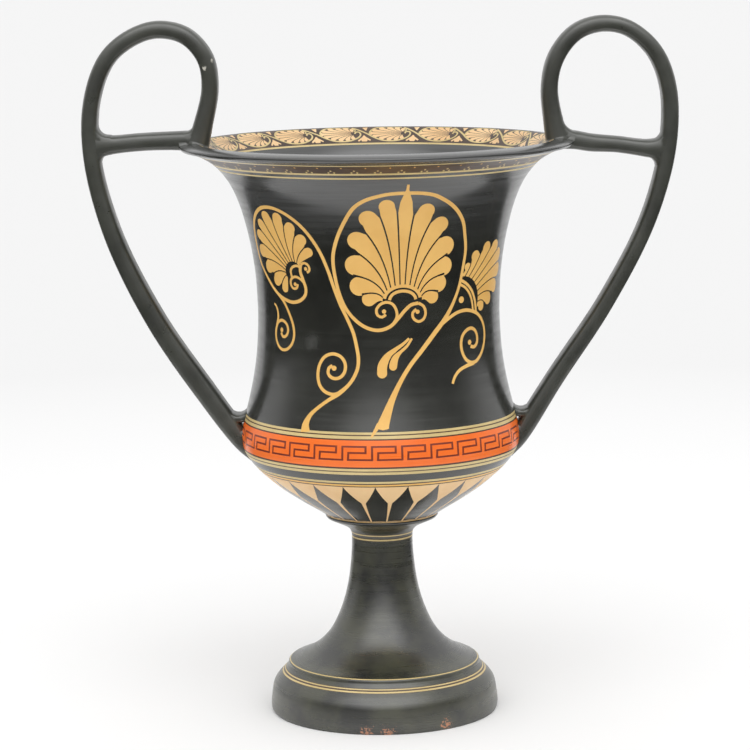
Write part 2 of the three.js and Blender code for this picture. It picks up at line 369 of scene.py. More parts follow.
keyBand = {"units": 30, "start": -15.6, "bottom": 132.1, "top": 138.1, "middle": 135.35, "inner": 2.5,
           "reach": 9.4, "line": 0.84, "slant": 0.2}


def keyPattern():
    # one running line: over the top, in to the middle, down, along the bottom and up to the next turn
    k = keyBand
    pitch = 360 / k["units"]
    half = k["line"] / 2
    bars = []
    for unit in range(k["units"]):
        x = k["start"] + unit * pitch
        corners = [(x, k["top"]), (x + k["reach"], k["top"]), (x + k["reach"], k["middle"]),
                   (x + k["inner"], k["middle"]), (x + k["inner"] - k["slant"], k["bottom"]),
                   (x + pitch, k["bottom"]), (x + pitch, k["top"])]
        for a, b in zip(corners, corners[1:]):
            foot, head = sorted((a, b), key=lambda corner: corner[1])
            isUpright = abs(a[0] - b[0]) < 1
            footEnds = (foot[0], foot[0]) if isUpright else (min(a[0], b[0]), max(a[0], b[0]))
            headEnds = (head[0], head[0]) if isUpright else footEnds
            low, high = foot[1] - half, head[1] + half
            bars.append(([Vector((footEnds[0] - half, low)), Vector((footEnds[1] + half, low)),
                          Vector((headEnds[1] + half, high)), Vector((headEnds[0] - half, high))], "redLine"))
    return bars


rays = {"count": 24, "first": -2.9, "outline": [(0, 118.1), (0.8, 116), (1.9, 114), (3.1, 112), (4.7, 110),
                                               (6.3, 108.2), (6.55, 104), (6.75, 100), (6.9, 95.8)]}


def rayPattern():
    # long black rays that leave pale tongues between their points and fine lines between their sides
    motif = []
    for k in range(rays["count"]):
        middle = rays["first"] + k * 360 / rays["count"]
        right = [Vector((middle + x, y)) for x, y in rays["outline"]]
        left = [Vector((middle - x, y)) for x, y in rays["outline"][1:]]
        motif.append((anticlockwise(right[::-1] + left), "gloss"))
    return motif


rimDots = {"groups": 47, "first": 0.3, "corners": 7,
           "three": [(0, 264.9), (-0.95, 264), (0.95, 264)], "threeRadius": 0.36,
           "loneHeight": 266.3, "loneRadius": 0.3}


def dotRow():
    # threes of tiny pale dots, and a fainter single row above them
    r = rimDots
    motif = []
    for k in range(r["groups"]):
        x = r["first"] + k * 360 / r["groups"]
        for dx, height in r["three"]:
            motif += dot((x + dx, height), r["threeRadius"], "cream", r["corners"])
        motif += dot((x + 180 / r["groups"], r["loneHeight"]), r["loneRadius"], "ochre", r["corners"])
    return motif


wallBands = [  # each from, to and paint, upward from the collar to under the lip
    (95.6, 118, "peach"), (118, 118.5, "darkLine"), (118.5, 119.4, "ochre"), (119.4, 119.9, "brownWash"),
    (120, 121.1, "cream"), (124.8, 126.1, "cream"), (126.1, 126.6, "brownWash"), (126.6, 127.8, "cream"),
    (127.8, 128.6, "darkLine"), (128.6, 140.9, "orange"), (140.9, 141.5, "darkLine"), (141.5, 142.9, "cream"),
    (142.9, 143.4, "darkLine"), (143.4, 144.5, "cream"), (260.7, 261.4, "cream"), (262.7, 263.5, "cream"),
    (263.5, 267.1, "brownWash"), (267.3, 267.7, "cream"),
]


def wallPaint():
    hoops = [area for band in wallBands for area in hoop(*band)]
    front = (mainPalmetteMotif() + mainTendril() + leftTendril() + leftPalmetteMotif() + rightTendril()
             + rightPalmetteMotif() + leafPair())
    return hoops + rayPattern() + keyPattern() + dotRow() + front + turnedRound(front, 180)


# inside of the lip

lipFrieze = {
    "units": 20, "first": 4.1,
    "degree": 1.38,  # a degree of the lip is this many mm
    "lineFrom": 0.15, "lineTo": 1.25, "groundTo": 13.4,  # pale line, then the brown ground
}


def friezeUnit():
    # a palmette lying on its side, one stretch of the tendril over and under it, and the trefoils beside it;
    # places are [mm round the lip, mm up from its inner line]
    heads = [(-3.2, 0.2, 0.95), (-4, 3, 1.1), (-4, 6.3, 1.2), (-3.4, 9.9, 1.25), (-1.8, 13, 1.2),
        (0.2, 14.4, 1.2), (2.2, 13, 1.2), (3.6, 9.9, 1.25), (4, 6.3, 1.2), (4, 3, 1.1), (3.1, 0.2, 0.95)]
    fan = palmette(heads, (1.2, 1), 17, line=0.3, fill="peach", ground="brownWash")
    under = [(-17, 12.4), (-14.8, 11), (-12.3, 9.3), (-9.9, 7.5), (-7.7, 5.7), (-5.5, 4.3), (-2.8, 3.1),
        (0.7, 2.5), (4.6, 2.6), (8, 3.6), (10.8, 5.4), (11.6, 7.4), (10.8, 8.9), (9.3, 8.8), (8.8, 7.6)]
    over = [(-8.8, 6.6), (-8.5, 9), (-7.2, 10.8), (-4.8, 12.3), (0, 12.9), (6.7, 12.5)]
    heart = [(7.4, 10.9), (8.9, 10.8), (9.2, 9.7), (8.3, 9.3)]
    leaves = [[(-11.6, 6.3, 0.5), (-11.6, 5, 2.1), (-11.6, 3.2, 3.2), (-11.6, 2.2, 2.4)],
              [(-12.4, 4.9, 0.6), (-13.6, 3.6, 1), (-14.8, 2.5, 0.8)],
              [(-10.8, 5, 0.6), (-9.6, 3.8, 1), (-8.4, 2.9, 0.8)],
              [(-10.4, 9.9, 0.4), (-10.6, 11.2, 1.6), (-10.8, 12.6, 2.6)]]
    unit = placed(fan, (7.9, 7.7), 90, (1, 1.08))
    unit += stroke(under, 0.85, "cream", 0.8) + stroke(over, 0.85, "cream", 0.8)
    unit += stroke(heart, 0.6, "cream", 0.5)
    return unit + [area for leaf in leaves for area in stroke(leaf, 1, "peach", 0.8)]


def lipPaint():
    f = lipFrieze
    unit = friezeUnit()
    motif = hoop(f["lineFrom"], f["lineTo"], "cream") + hoop(f["lineTo"], f["groundTo"], "brownWash")
    for k in range(f["units"]):
        middle = f["first"] + k * 360 / f["units"]
        for polygon, paint in unit:
            motif.append(([Vector((p[0] / f["degree"] + middle, p[1])) for p in polygon], paint))
    return motif


# painted skin: the motifs are cut into a flat sheet, which is then wrapped round the cup

def clipped(polygon, limit, keepLow):
    kept = []
    for a, b in zip(polygon, polygon[1:] + polygon[:1]):
        aIn = a.x <= limit if keepLow else a.x >= limit
        bIn = b.x <= limit if keepLow else b.x >= limit
        if aIn:
            kept.append(a)
        if aIn != bIn:
            cut = a.lerp(b, (limit - a.x) / (b.x - a.x))
            kept.append(Vector((limit, cut.y)))
    return kept


def withinTurn(motif):
    # brings every polygon between -180 and 180 degrees, cutting those that cross the join at the back
    kept = []
    for polygon, paint in motif:
        middle = (min(p.x for p in polygon) + max(p.x for p in polygon)) / 2
        shift = -360 * math.floor((middle + 180) / 360)
        polygon = [Vector((p.x + shift, p.y)) for p in polygon]
        if min(p.x for p in polygon) < -180:
            over = [Vector((p.x + 360, p.y)) for p in clipped(polygon, -180, True)]
            pieces = [clipped(polygon, -180, False), over]
        elif max(p.x for p in polygon) > 180:
            over = [Vector((p.x - 360, p.y)) for p in clipped(polygon, 180, False)]
            pieces = [clipped(polygon, 180, True), over]
        else:
            pieces = [polygon]
        kept += [(piece, paint) for piece in pieces if len(piece) > 2]
    return kept


def paintedSkin(sheet, rows, motif, wrap, clearance=0.35, margin=0.12):
    # adds a sheet with the motifs cut into it; wrap turns [degrees, row] into a place on the cup.
    # The sheet's own grid leaves out points closer than the clearance to paint, and paint keeps the margin
    # from the sheet's first and last rows.
    columns = cupProfile["columns"]
    low, high = rows[0], rows[-1]
    motif = [([Vector((p.x, min(max(p.y, low + margin), high - margin))) for p in polygon], paint)
             for polygon, paint in withinTurn(motif)]
    crowded = {(round(p.x / clearance), round(p.y / clearance)) for polygon, _ in motif for p in polygon}
    near = [(i, j) for i in (-1, 0, 1) for j in (-1, 0, 1)]
    points = []
    for row in rows:
        for k in range(columns + 1):
            x = -180 + 360 * k / columns
            cell = (round(x / clearance), round(row / clearance))
            isEdge = row in (low, high) or k in (0, columns)
            if isEdge or not any((cell[0] + i, cell[1] + j) in crowded for i, j in near):
                points.append(Vector((x, row)))
    areas = []
    for polygon, _ in motif:
        areas.append(list(range(len(points), len(points) + len(polygon))))
        points += polygon
    verts, _, faces, _, _, within = delaunay_2d_cdt(points, [], areas, 0, 1e-4)
    made = [sheet.verts.new(wrap(p.x, p.y)) for p in verts]
    for face, covers in zip(faces, within):
        patch = sheet.faces.new([made[k] for k in face])
        # the stroke laid on last shows
        patch.material_index = paints.index(motif[max(covers)][1]) if covers else 0
    print("painted skin:", len(motif), "strokes,", len(faces), "faces")


def turnedSkin(sheet, run, paintAt=None):
    # spins the [radius, height] run round the axis; paintAt gives the paint at a height
    columns = cupProfile["columns"]
    verts = [sheet.verts.new((0, -p.x, p.y)) for p in run]
    edges = [sheet.edges.new(pair) for pair in zip(verts, verts[1:])]
    before = set(sheet.faces)
    bmesh.ops.spin(sheet, geom=verts + edges, axis=(0, 0, 1), angle=2 * math.pi, steps=columns,
                   use_merge=True)
    if paintAt:
        for face in sheet.faces:
            if face not in before:
                face.material_index = paints.index(paintAt(face.calc_center_median().z))


def heightsOf(motif, low, high):
    # the heights of the hoops, which need rows of their own
    return sorted({p[1] for polygon, _ in motif if len(polygon) == 4 and polygon[1][0] - polygon[0][0] == 360
                   for p in polygon if low < p[1] < high})


def wallSkin(cup):
    motif = wallPaint()
    run = profileRun("wall")
    rows = [p.y for p in withHeights(run, heightsOf(motif, run[0].y, run[-1].y))]
    exact = profileRun("wall", fine=0.2)
    heights = [p.y for p in exact]
    radii = [p.x for p in exact]

    def onWall(degrees, height):
        radius = float(np.interp(height, heights, radii))
        t = math.radians(degrees)
        return (radius * math.sin(t), -radius * math.cos(t), height)

    paintedSkin(cup, rows, motif, onWall)


def lipSkin(cup):
    # the sheet's rows are the mm up the lip's inside, and its middle is at the back
    exact = profileRun("lipInside", fine=0.2)[::-1]
    along = [0]
    for a, b in zip(exact, exact[1:]):
        along.append(along[-1] + (b - a).length)
    radii = [p.x for p in exact]
    heights = [p.y for p in exact]
    rows = [float(np.interp(p.x, radii, along)) for p in profileRun("lipInside")[::-1]]
    rows[0], rows[-1] = 0.0, along[-1]
    rows = sorted(set(rows) | {lipFrieze[edge] for edge in ("lineFrom", "lineTo", "groundTo")})

    def onLip(degrees, up):
        radius = float(np.interp(up, along, radii))
        height = float(np.interp(up, along, heights))
        t = math.radians(degrees)
        return (radius * math.sin(t), radius * math.cos(t), height)

    paintedSkin(cup, rows, lipPaint(), onLip)


def buildCup():
    cup = bmesh.new()
    lines = cupProfile["footLines"]

    def footPaint(height):
        return next((paint for low, high, paint in lines if low < height < high), "gloss")

    turnedSkin(cup, withHeights(profileRun("foot"), [h for line in lines for h in line[:2]]), footPaint)
    for name in ("lipTop", "bowl", "footHollow"):
        turnedSkin(cup, profileRun(name))
    print("turned the plain clay")
    wallSkin(cup)
    lipSkin(cup)
    # welds the skins at their shared rings, in millimetres
    bmesh.ops.remove_doubles(cup, verts=cup.verts, dist=0.004)
    bmesh.ops.dissolve_degenerate(cup, edges=cup.edges, dist=0.002)
    bmesh.ops.recalc_face_normals(cup, faces=cup.faces)
    openEdges = sum(1 for e in cup.edges if not e.is_manifold)
    print("cup:", len(cup.faces), "faces,", openEdges, "open edges")
    return cup


# handles

handles = {
    "corners": 24, "squareness": 0.55, "step": 2.0,
    "depth": 15, "strutDepth": 14, "filletDepth": 13.7,
    # a loop is deeper over this share of its length at the root, and past this share where it lands
    "rootSpread": 3, "rootTo": 0.14, "landingSpread": 2, "landingFrom": 0.93,
    # places are [mm from the axis, height, thickness]
    "leftLoop": [(60, 123.5, 5), (65.6, 130.6, 8.6), (80.5, 151.6, 10.1), (105, 188.8, 9.7),
        (124.2, 229.6, 8.7), (133.15, 266, 8), (132.7, 292, 7.8), (125.2, 311.8, 8), (114.3, 321.3, 8.2),
        (101.5, 325.45, 8.2), (88.2, 322.4, 8.1), (79.2, 312, 8), (77.2, 298, 8), (81.2, 279.5, 9.2),
        (84.1, 269.2, 11)],
    "leftStrut": [(134, 271.6, 13), (128.6, 271.9, 10.6), (123, 272.2, 8.6), (111, 273.2, 8.2),
        (98, 273.6, 8.4), (89, 273.6, 9), (83, 273.6, 9)],
    "rightLoop": [(60.4, 123.8, 5), (65.8, 131.4, 8.2), (82.9, 158.5, 8.4), (107.1, 194.7, 7.9),
        (127.2, 233.6, 7.6), (136.5, 268, 8), (136.75, 295, 7.8), (130.2, 312.2, 7.8), (118, 322.9, 7.6),
        (105.5, 325.2, 7.7), (93.6, 321.2, 7.8), (84.4, 309.7, 7.9), (81.3, 296, 7.9), (83.2, 279, 9.4),
        (85.2, 269.4, 11)],
    "rightStrut": [(137.4, 266.4, 13), (132.4, 266.5, 10.2), (126.6, 266.8, 8.2), (113, 268.8, 7.5),
        (100, 269.9, 8.2), (92.8, 271.2, 8.6), (86.5, 271.6, 9)],
    # clay smoothed into the corners: centre, radius and half thickness, then from and to in degrees
    "leftFillets": [((125.3, 281.4), 4.5, 3, -93, 1), ((124.6, 263.7), 4, 3, 84, -14),
        ((89.1, 281.6), 3.5, 3, -92, -164), ((67.1, 148.4), 4.4, 2.1, -166, -35)],
    "rightFillets": [((128.8, 275.4), 4.5, 3, -97, -1), ((126.1, 258.2), 4.5, 3, 80, -15),
        ((95, 282.7), 7.5, 3, -102, -174), ((66.9, 149.2), 4.4, 2.1, -166, -32)],
    # how far a corner's face stands back from its radius, and how far its ends run on and sink
    "filletGap": 0.12, "filletRunOn": 3, "filletSink": 1.3,
}


def filletPath(centre, radius, half, fromDegrees, toDegrees):
    # bent path whose hollow side is the rounded corner; its ends run on and sink into the straps
    reach = radius + half + handles["filletGap"]
    turns = [math.radians(fromDegrees + (toDegrees - fromDegrees) * k / 6) for k in range(7)]
    outward = [Vector((math.cos(t), math.sin(t))) for t in turns]
    run = [Vector(centre) + away * reach for away in outward]
    runOn, sink = handles["filletRunOn"], handles["filletSink"]
    first = run[0] + (run[0] - run[1]).normalized() * runOn + outward[0] * sink
    last = run[-1] + (run[-1] - run[-2]).normalized() * runOn + outward[-1] * sink
    return [(p.x, p.y, 2 * half) for p in (first, *run, last)]


def handleParts(side):
    # path, depth and whether it spreads at its ends, for the loop, the strut and the rounded corners
    fillets = [(filletPath(*fillet), handles["filletDepth"], False) for fillet in handles[side + "Fillets"]]
    return [(handles[side + "Loop"], handles["depth"], True),
            (handles[side + "Strut"], handles["strutDepth"], False), *fillets]


def squared(value):
    return math.copysign(abs(value) ** handles["squareness"], value)


def buildStrap(path, depth, spreads, side):
    # squared-oval rings along the bent path, bridged and capped; side is -1 on the left
    strap = bmesh.new()
    run = curveThrough(path, handles["step"])
    rings = []
    for k, station in enumerate(run):
        u = k / (len(run) - 1)
        along = headingAt(run, k)
        deep = depth
        if spreads:
            deep += handles["rootSpread"] * max(0, 1 - u / handles["rootTo"]) ** 2
            landed = (u - handles["landingFrom"]) / (1 - handles["landingFrom"])
            deep += handles["landingSpread"] * max(0, landed) ** 2
        isEnd = k in (0, len(run) - 1)
        ring = bmesh.ops.create_circle(strap, cap_ends=isEnd, radius=1, segments=handles["corners"])
        for v in ring["verts"]:
            across, out = squared(v.co.x) * station.z / 2, squared(v.co.y) * deep / 2
            v.co = (side * (station.x + along.y * across), out, station.y - along.x * across)
        rings.append(list({e for v in ring["verts"] for e in v.link_edges}))
    for a, b in zip(rings, rings[1:]):
        bmesh.ops.bridge_loops(strap, edges=a + b)
    for face in strap.faces:
        face.material_index = paints.index("handleGloss")
    bmesh.ops.triangulate(strap, faces=[f for f in strap.faces if len(f.verts) > 4])
    bmesh.ops.recalc_face_normals(strap, faces=strap.faces)
    return strap


# materials

def nodesFor(name):
    material = bpy.data.materials.new(name)
    material.use_nodes = True
    tree = material.node_tree
    return material, tree, tree.nodes["Principled BSDF"]


def linked(tree, kind, inputs, **settings):
    # a node with its settings, its plain values and its links
    node = tree.nodes.new("ShaderNode" + kind)
    for name, value in settings.items():
        setattr(node, name, value)
    for key, value in inputs.items():
        if isinstance(value, bpy.types.NodeSocket):
            tree.links.new(value, node.inputs[key])
        else:
            node.inputs[key].default_value = value
    return node


def noiseAt(tree, place, scale, detail, roughness=0.5, stretch=(1, 1, 1)):
    mapped = linked(tree, "Mapping", {"Vector": place, "Scale": stretch})
    return linked(tree, "TexNoise", {"Vector": mapped.outputs[0], "Scale": scale, "Detail": detail,
                                               "Roughness": roughness}).outputs["Fac"]


def ranged(tree, value, fromLow, fromHigh, toLow, toHigh):
    return linked(tree, "MapRange", {"Value": value, "From Min": fromLow, "From Max": fromHigh,
                                               "To Min": toLow, "To Max": toHigh}).outputs["Result"]


def blended(tree, factor, low, high):
    node = linked(tree, "Mix", {}, data_type="RGBA")
    for index, value in ((0, factor), (6, low), (7, high)):
        if isinstance(value, bpy.types.NodeSocket):
            tree.links.new(value, node.inputs[index])
        else:
            node.inputs[index].default_value = value if index == 0 else (*value, 1)
    return node.outputs[2]


def maths(tree, operation, a, b=0.0):
    return linked(tree, "Math", {0: a, 1: b}, operation=operation).outputs[0]


finishes = {
    # colour, second colour of its mottling, lowest and highest roughness
    "gloss": ((0.0155, 0.016, 0.013), (0.028, 0.029, 0.0235), 0.15, 0.27),
    "handleGloss": ((0.032, 0.034, 0.027), (0.056, 0.059, 0.047), 0.26, 0.42),
    "ochre": ((0.9, 0.535, 0.145), (0.82, 0.46, 0.11), 0.34, 0.46),
    "peach": ((0.92, 0.63, 0.33), (0.82, 0.52, 0.24), 0.34, 0.46),
    "cream": ((0.74, 0.58, 0.27), (0.6, 0.46, 0.19), 0.34, 0.46),
    "orange": ((0.99, 0.19, 0.015), (0.92, 0.155, 0.012), 0.26, 0.36),
    "redLine": ((0.17, 0.022, 0.01), (0.24, 0.035, 0.014), 0.3, 0.4),
    "darkLine": ((0.05, 0.018, 0.01), (0.08, 0.03, 0.016), 0.3, 0.4),
    "brownWash": ((0.05, 0.028, 0.018), (0.085, 0.05, 0.033), 0.28, 0.4),
    "glossIor": 1.85, "paintIor": 1.62,
    "mottle": 45, "grain": 1900, "speckle": 850,  # noise scales, each over a metre
    # streaks lie round the cup, and any way on a strap
    "brushed": (14, 14, 520), "handleBrushed": (110, 110, 110),
    "bump": 0.35, "bumpDepth": 0.00012,
}

glossWear = {  # places are in metres
    "brushedGrey": (0.05, 0.053, 0.045),
    "thinTop": 0.096, "thinGrey": (0.052, 0.053, 0.033),  # below this height the gloss is thinner and rougher
    "paintedSheenFrom": 0.228, "paintedSheenGrey": (0.06, 0.061, 0.06),  # above this height the wall gets a painted sheen, a paler grey streaked like the brushing
    # each spot is x, y, z and its reach
    "chips": [(-0.009, -0.0535, 0.0014, 0.0085), (0.0015, -0.0538, 0.001, 0.008),
        (0.0285, -0.046, 0.0025, 0.0075)],
    "clay": (0.5, 0.22, 0.12),
    "nicks": [(-0.0752, -0.007, 0.3113, 0.0016), (-0.0792, -0.007, 0.3077, 0.0014),
        (-0.0548, -0.074, 0.2724, 0.0015)],
    "nickColour": (0.55, 0.53, 0.46),
    "rub": (-0.0305, -0.0495, 0.1838, 0.0062), "rubColour": (0.1, 0.1, 0.095),
}


def times(tree, a, b):
    return maths(tree, "MULTIPLY", a, b)


def distanceTo(tree, place, spot):
    return linked(tree, "VectorMath", {0: place, 1: spot}, operation="DISTANCE").outputs["Value"]


def brushedGloss(tree, name, place, mottle, streaks, colour, roughness):
    # paler brushed patches everywhere, thin grey gloss on stem and foot, and a painted sheen on the top of
    # the wall, streaked like the brushing
    height = linked(tree, "SeparateXYZ", {0: place}).outputs["Z"]
    patches = ranged(tree, mottle, 0.4, 0.62, 0, 1)
    brushed = times(tree, ranged(tree, streaks, 0.42, 0.66, 0, 1), patches)
    colour = blended(tree, times(tree, brushed, 0.25), colour, glossWear["brushedGrey"])
    thin = ranged(tree, height, glossWear["thinTop"] - 0.006, glossWear["thinTop"], 1, 0)
    colour = blended(tree, times(tree, thin, patches), colour, glossWear["thinGrey"])
    roughness = maths(tree, "ADD", roughness, times(tree, thin, 0.08))
    if name == "gloss":
        # painted sheen: the top of the wall is made a paler grey, streaked like the brushing
        paintedSheen = ranged(tree, height, glossWear["paintedSheenFrom"], glossWear["paintedSheenFrom"] + 0.02, 0, 1)
        paintedSheen = times(tree, paintedSheen, ranged(tree, streaks, 0.35, 0.6, 0.5, 1))
        colour = blended(tree, paintedSheen, colour, glossWear["paintedSheenGrey"])
    return colour, roughness


def wornGloss(tree, place, mottle, colour, roughness):
    # ragged chips down to the clay, small pale nicks and a rubbed patch
    speckle = noiseAt(tree, place, finishes["speckle"], 5, 0.75)
    chips = [ranged(tree, distanceTo(tree, place, spot), 0, reach, 0.34, 0)
             for *spot, reach in glossWear["chips"]]
    nearest = chips[0]
    for near in chips[1:]:
        nearest = maths(tree, "MAXIMUM", nearest, near)
    bare = ranged(tree, maths(tree, "ADD", speckle, nearest), 0.76, 0.8, 0, 1)
    colour = blended(tree, bare, colour, glossWear["clay"])
    roughness = maths(tree, "ADD", roughness, times(tree, bare, 0.4))
    for *spot, reach in glossWear["nicks"]:
        ragged = maths(tree, "ADD", distanceTo(tree, place, spot), times(tree, speckle, reach * 2))
        nick = ranged(tree, ragged, reach * 1.5, reach * 1.75, 1, 0)
        colour = blended(tree, nick, colour, glossWear["nickColour"])
    *spot, reach = glossWear["rub"]
    rubbed = times(tree, ranged(tree, distanceTo(tree, place, spot), reach * 0.3, reach, 1, 0),
                   ranged(tree, mottle, 0.45, 0.6, 0, 1))
    return blended(tree, times(tree, rubbed, 0.45), colour, glossWear["rubColour"]), roughness


def paintedFinish(name):
    material, tree, shader = nodesFor(name)
    low, high, smooth, rough = finishes[name]
    isGloss = name in ("gloss", "handleGloss")
    place = tree.nodes.new("ShaderNodeTexCoord").outputs["Object"]
    mottle = noiseAt(tree, place, finishes["mottle"], 4, 0.6)
    brushing = finishes["handleBrushed" if name == "handleGloss" else "brushed"]
    streaks = noiseAt(tree, place, 1, 4, 0.65, brushing)
    grain = noiseAt(tree, place, finishes["grain"], 2)
    colour = blended(tree, ranged(tree, mottle, 0.35, 0.68, 0, 1), low, high)
    roughness = ranged(tree, streaks, 0.3, 0.7, smooth, rough)
    if isGloss:
        colour, roughness = brushedGloss(tree, name, place, mottle, streaks, colour, roughness)
        colour, roughness = wornGloss(tree, place, mottle, colour, roughness)
    tree.links.new(colour, shader.inputs["Base Color"])
    tree.links.new(roughness, shader.inputs["Roughness"])
    shader.inputs["IOR"].default_value = finishes["glossIor" if isGloss else "paintIor"]
    bump = maths(tree, "ADD", times(tree, streaks, 0.3), times(tree, grain, 0.12))
    normal = linked(tree, "Bump", {"Height": bump, "Strength": finishes["bump"],
                                             "Distance": finishes["bumpDepth"]})
    tree.links.new(normal.outputs[0], shader.inputs["Normal"])
    return material


def asObject(name, mesh, materials, unit=mm):
    data = bpy.data.meshes.new(name)
    bmesh.ops.scale(mesh, vec=(unit, unit, unit), verts=mesh.verts)
    mesh.to_mesh(data)
    mesh.free()
    for material in materials:
        data.materials.append(material)
    piece = bpy.data.objects.new(name, data)
    bpy.context.scene.collection.objects.link(piece)
    return piece


def joinedCup(materials):
    cup = asObject("kantharosCup", buildCup(), materials)
    straps = [asObject("strap", buildStrap(*part, side), materials)
              for name, side in (("left", -1), ("right", 1)) for part in handleParts(name)]
    for strap in straps:
        join = cup.modifiers.new("join", "BOOLEAN")
        join.operation = "UNION"
        join.solver = "MANIFOLD"
        join.object = strap
    whole = bpy.data.meshes.new_from_object(cup.evaluated_get(bpy.context.evaluated_depsgraph_get()))
    cup.modifiers.clear()
    cup.data = whole
    for strap in straps:
        bpy.data.objects.remove(strap)
    check = bmesh.new()
    check.from_mesh(whole)
    bmesh.ops.remove_doubles(check, verts=check.verts, dist=0.004 * mm)
    bmesh.ops.triangulate(check, faces=[f for f in check.faces if len(f.verts) > 4])
    check.to_mesh(whole)
    print("joined:", len(whole.vertices), "points,", sum(len(f.verts) - 2 for f in check.faces), "triangles,",
          sum(1 for e in check.edges if not e.is_manifold), "open edges")
    check.free()
    whole.polygons.foreach_set("use_smooth", [True] * len(whole.polygons))
    return cup


def profileLine(names):
    # radius and height, distance along and outward direction of a fine profile run
    run = []
    for name in names:
        part = profileRun(name, fine=0.25)
        run += part[1:] if run else part
    points = np.array([tuple(p) for p in run])
    steps = np.diff(points, axis=0)
    along = np.concatenate([[0], np.cumsum(np.hypot(steps[:, 0], steps[:, 1]))])
    slope = np.gradient(points, along, axis=0)
    return points, along, np.stack([slope[:, 1], -slope[:, 0]], axis=1)


charts = {
    # each skin: its profile parts, its band of the unwrapped sheet, and the heights that carry paint
    "outside": (["foot", "wall"], (0.0, 0.47), (97, 268.6)),
    "rim": (["lipTop"], (0.475, 0.49), None),
    "inside": (["lipInside", "bowl"], (0.495, 0.76), (257, math.inf)),
    "under": (["footHollow"], (0.765, 0.82), None),
    "edge": 0.002,
    # a handle's chart: margin, width of each face, step from the front to the back face, band of the sheet,
    # and from and over how many mm up and out
    "handleEdge": 0.005, "handleWide": 0.235, "handleStep": 0.245, "handleBand": (0.83, 0.16),
    "handleUp": (115, 215), "handleOut": (55, 90),
}
skins = ["outside", "rim", "inside", "under"]


def arrayOf(items, name, kind, width=1):
    values = np.empty(len(items) * width, kind)
    items.foreach_get(name, values)
    return values


def nearestOnLine(points, radius, height):
    # distance to the profile run and the index of its nearest sample, for every point of the mesh
    tree = kdtree.KDTree(len(points))
    for k, (r, z) in enumerate(points):
        tree.insert((r, z, 0), k)
    tree.balance()
    found = [tree.find((r, z, 0)) for r, z in zip(radius, height)]
    return np.array([f[2] for f in found]), np.array([f[1] for f in found])


def unwrapHandles(uv, at, isHandle):
    # the front and back faces of both handles, side by side, as they look from straight ahead
    c = charts
    (low, high), (fromHeight, heights), (fromReach, reaches) = c["handleBand"], c["handleUp"], c["handleOut"]
    for side, offset in ((-1, 0.0), (1, 0.5)):
        mine = isHandle & (np.sign(at[:, 0]) == side)
        x, y, z = at[mine].T
        behind = np.where(y < 0, 0, c["handleStep"])
        uv[mine, 0] = offset + c["handleEdge"] + behind + c["handleWide"] * (z - fromHeight) / heights
        uv[mine, 1] = low + high * (np.abs(x) - fromReach) / reaches


def shadeAndUnwrap(piece):
    # true turned normals on the painted skins, and one flat chart for each skin and each handle's faces
    mesh = piece.data
    places = arrayOf(mesh.vertices, "co", float, 3).reshape(-1, 3) / mm
    corners = arrayOf(mesh.loops, "vertex_index", int)
    sizes = arrayOf(mesh.polygons, "loop_total", int)
    slots = arrayOf(mesh.polygons, "material_index", int)
    owner = np.repeat(np.arange(len(sizes)), sizes)
    radius = np.hypot(places[:, 0], places[:, 1])
    angle = np.arctan2(places[:, 0], -places[:, 1])
    isHandle = slots[owner] == paints.index("handleGloss")

    lines = [profileLine(charts[skin][0]) for skin in skins]
    found = [nearestOnLine(points, radius, places[:, 2]) for points, _, _ in lines]
    faceAway = np.stack([np.bincount(owner, weights=away[corners]) for away, _ in found])
    nearestSkin = np.argmin(faceAway, axis=0)[owner]

    normals = np.zeros((len(corners), 3))
    uv = np.zeros((len(corners), 2))
    middle = np.arctan2(np.bincount(owner, weights=np.sin(angle[corners])),
                        np.bincount(owner, weights=np.cos(angle[corners])))
    for k, skin in enumerate(skins):
        _, (low, high), span = charts[skin]
        points, along, outward = lines[k]
        away, nearest = found[k]
        mine = (nearestSkin == k) & ~isHandle
        index = nearest[corners[mine]]
        turn = angle[corners[mine]]
        centre = middle[owner[mine]]
        onAxis = radius[corners[mine]] < 0.01
        spread = np.where(onAxis, centre, centre + (turn - centre + math.pi) % (2 * math.pi) - math.pi)
        uv[mine, 0] = charts["edge"] + (1 - 2 * charts["edge"]) * (spread + math.pi) / (2 * math.pi)
        uv[mine, 1] = low + (high - low) * along[index] / along[-1]
        if span:
            z = points[index, 1]
            painted = (z > span[0]) & (z < span[1]) & (away[corners[mine]] < 0.2)
            out, up = outward[index].T
            turned = np.stack([out * np.sin(turn), -out * np.cos(turn), up], axis=1)
            normals[np.flatnonzero(mine)[painted]] = turned[painted]
    unwrapHandles(uv, places[corners], isHandle)
    flat = mesh.uv_layers.new(name="OFBake")
    flat.data.foreach_set("uv", uv.ravel())
    mesh.normals_split_custom_set(normals.tolist())
    print("shaded and unwrapped", len(sizes), "faces")


cup = joinedCup([paintedFinish(name) for name in paints])
shadeAndUnwrap(cup)
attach(cup, "root")
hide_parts("kantharos")


# studio

studio = {
    "lens": 148.08, "place": (-0.00225, -1.4451, 0.3848),
    "pitch": 8.8, "roll": -0.0155,  # degrees down, and radians
    # a bright tent, darker in the room before the cup, and a soft box above the front
    "tent": 0.86, "roomDark": 0.17, "roomEdge": (-0.35, 0.35), "roomTop": (0.2, 0.55),
    "softBox": 1.5, "softBoxAt": (0.0, -0.62, 0.785), "softBoxEdge": (0.68, 0.97),
    # painted pool of light on the paper: its colour near the cup and far off, and over what distance it
    # fades; then the paper's radius
    "paperPaintedLightNear": 0.93, "paperPaintedLightFar": 0.78, "paperPaintedLightFade": (0.2, 1.1), "paperRadius": 40,
    # the dark flag's ring, its height, and half its gap behind the cup in degrees
    "flagFrom": 0.3, "flagTo": 14, "flagUp": 0.003, "flagOpening": 44,
}


def mattFinish(name, roughness):
    material, tree, shader = nodesFor(name)
    shader.inputs["Roughness"].default_value = roughness
    shader.inputs["Specular IOR Level"].default_value = 0
    return material, tree, shader


